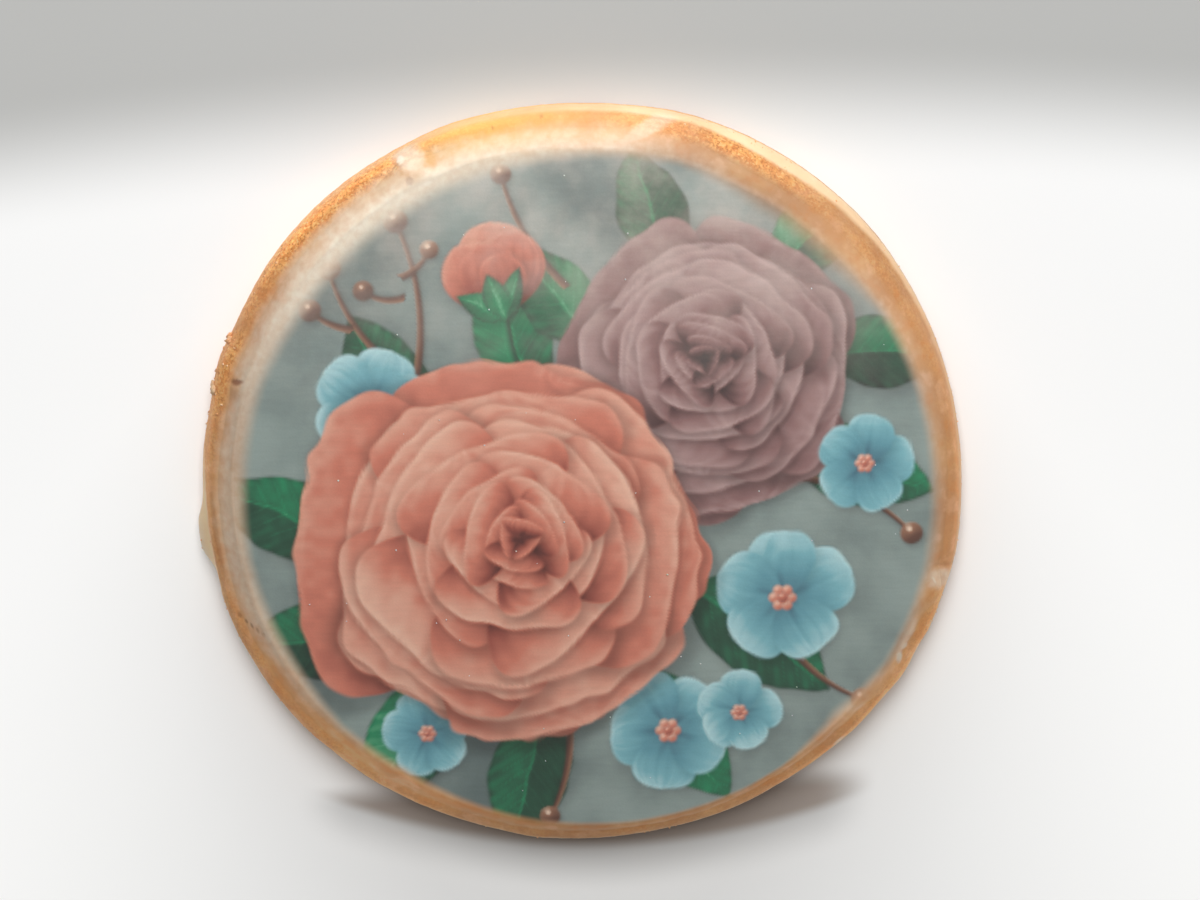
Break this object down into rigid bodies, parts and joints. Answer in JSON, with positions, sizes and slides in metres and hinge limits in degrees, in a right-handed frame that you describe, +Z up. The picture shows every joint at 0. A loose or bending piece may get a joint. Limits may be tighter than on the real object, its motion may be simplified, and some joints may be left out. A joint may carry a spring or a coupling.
{
  "type": "iced cookie",
  "caption": "Round golden biscuit with a thin coat of white icing and a disc of printed icing on top, lying flat.",
  "frame": {"origin": "middle of the flat underside, on the surface that the cookie lies on", "axes": "+Z up out of the iced face, +Y towards the top of the printed design, +X to its right"},
  "size_m": [0.0806, 0.079, 0.0074],
  "materials": {
    "crust": "matt, grainy baked crust, golden brown at the top edge and paler on the side",
    "icing": "smooth set sugar icing, satin, white where thick and see-through where thin",
    "print": "food dye on a thin sugar sheet, satin, with fine streaks and a soft edge"
  },
  "bodies": {
    "root": {"biscuit": "crust", "icing": "icing", "printed_sheet": "print"}
  },
  "joints": []
}
